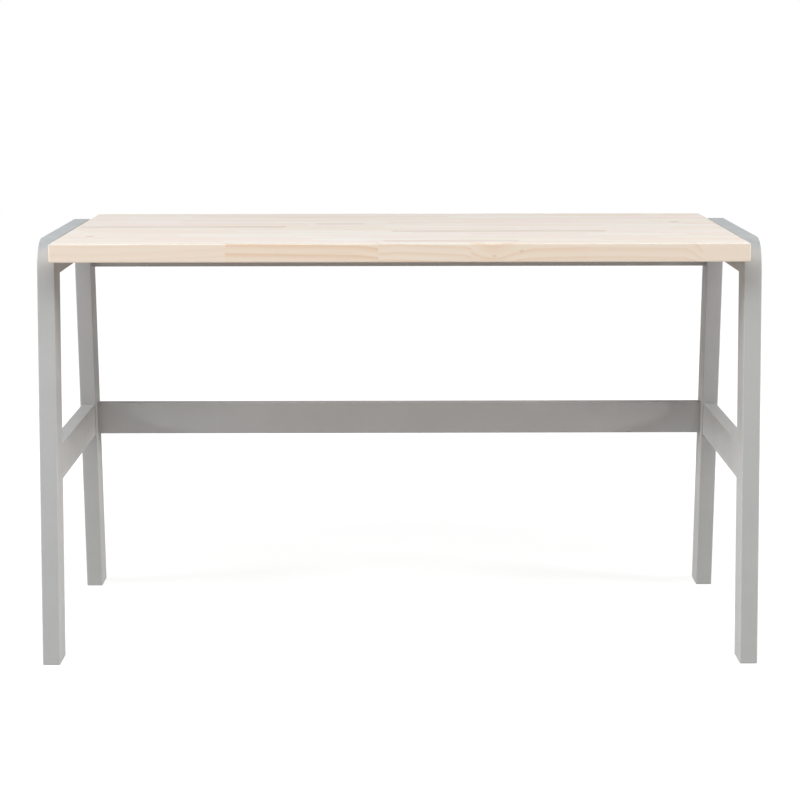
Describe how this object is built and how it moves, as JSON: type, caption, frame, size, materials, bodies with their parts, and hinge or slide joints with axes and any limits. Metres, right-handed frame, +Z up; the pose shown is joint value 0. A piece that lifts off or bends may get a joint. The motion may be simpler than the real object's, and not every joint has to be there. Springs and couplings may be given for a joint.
{
  "type": "standing desk",
  "caption": "Standing-height desk with a thick laminated pine top set flush between painted A-shaped side frames with rounded top corners, joined by a rear apron and a stretcher.",
  "frame": {"origin": "on the floor under the middle of the desktop", "axes": "+X along the desk to the right of a user who stands at it, +Y away from the user to the rear, +Z up"},
  "size_m": [1.829, 0.914, 1.08],
  "materials": {
    "frame_paint": "satin grey paint on pine",
    "desktop_pine": "whitewashed, matt oil",
    "bare_pine": "planed, unfinished",
    "dowel_beech": "turned, glued",
    "bolt_steel": "nickel plated",
    "zinc_steel": "zinc plated"
  },
  "bodies": {
    "root": {"left_front_leg": "frame_paint", "left_back_leg": "frame_paint", "left_top_rail": "frame_paint", "left_side_stretcher": "frame_paint", "right_front_leg": "frame_paint", "right_back_leg": "frame_paint", "right_top_rail": "frame_paint", "right_side_stretcher": "frame_paint", "rear_stretcher": "frame_paint", "rear_apron": "frame_paint", "desktop": "desktop_pine", "left_desktop_cleat": "bare_pine", "right_desktop_cleat": "bare_pine", "left_top_rail_dowels": "dowel_beech", "left_stretcher_dowels": "dowel_beech", "right_top_rail_dowels": "dowel_beech", "right_stretcher_dowels": "dowel_beech", "rear_stretcher_bolts": "bolt_steel", "rear_apron_bolts": "bolt_steel", "rear_stretcher_barrel_nuts": "zinc_steel", "rear_apron_barrel_nuts": "zinc_steel", "cleat_to_rail_screws": "zinc_steel", "cleat_to_desktop_screws": "zinc_steel", "apron_clips": "zinc_steel", "apron_clip_screws": "zinc_steel"}
  },
  "joints": []
}
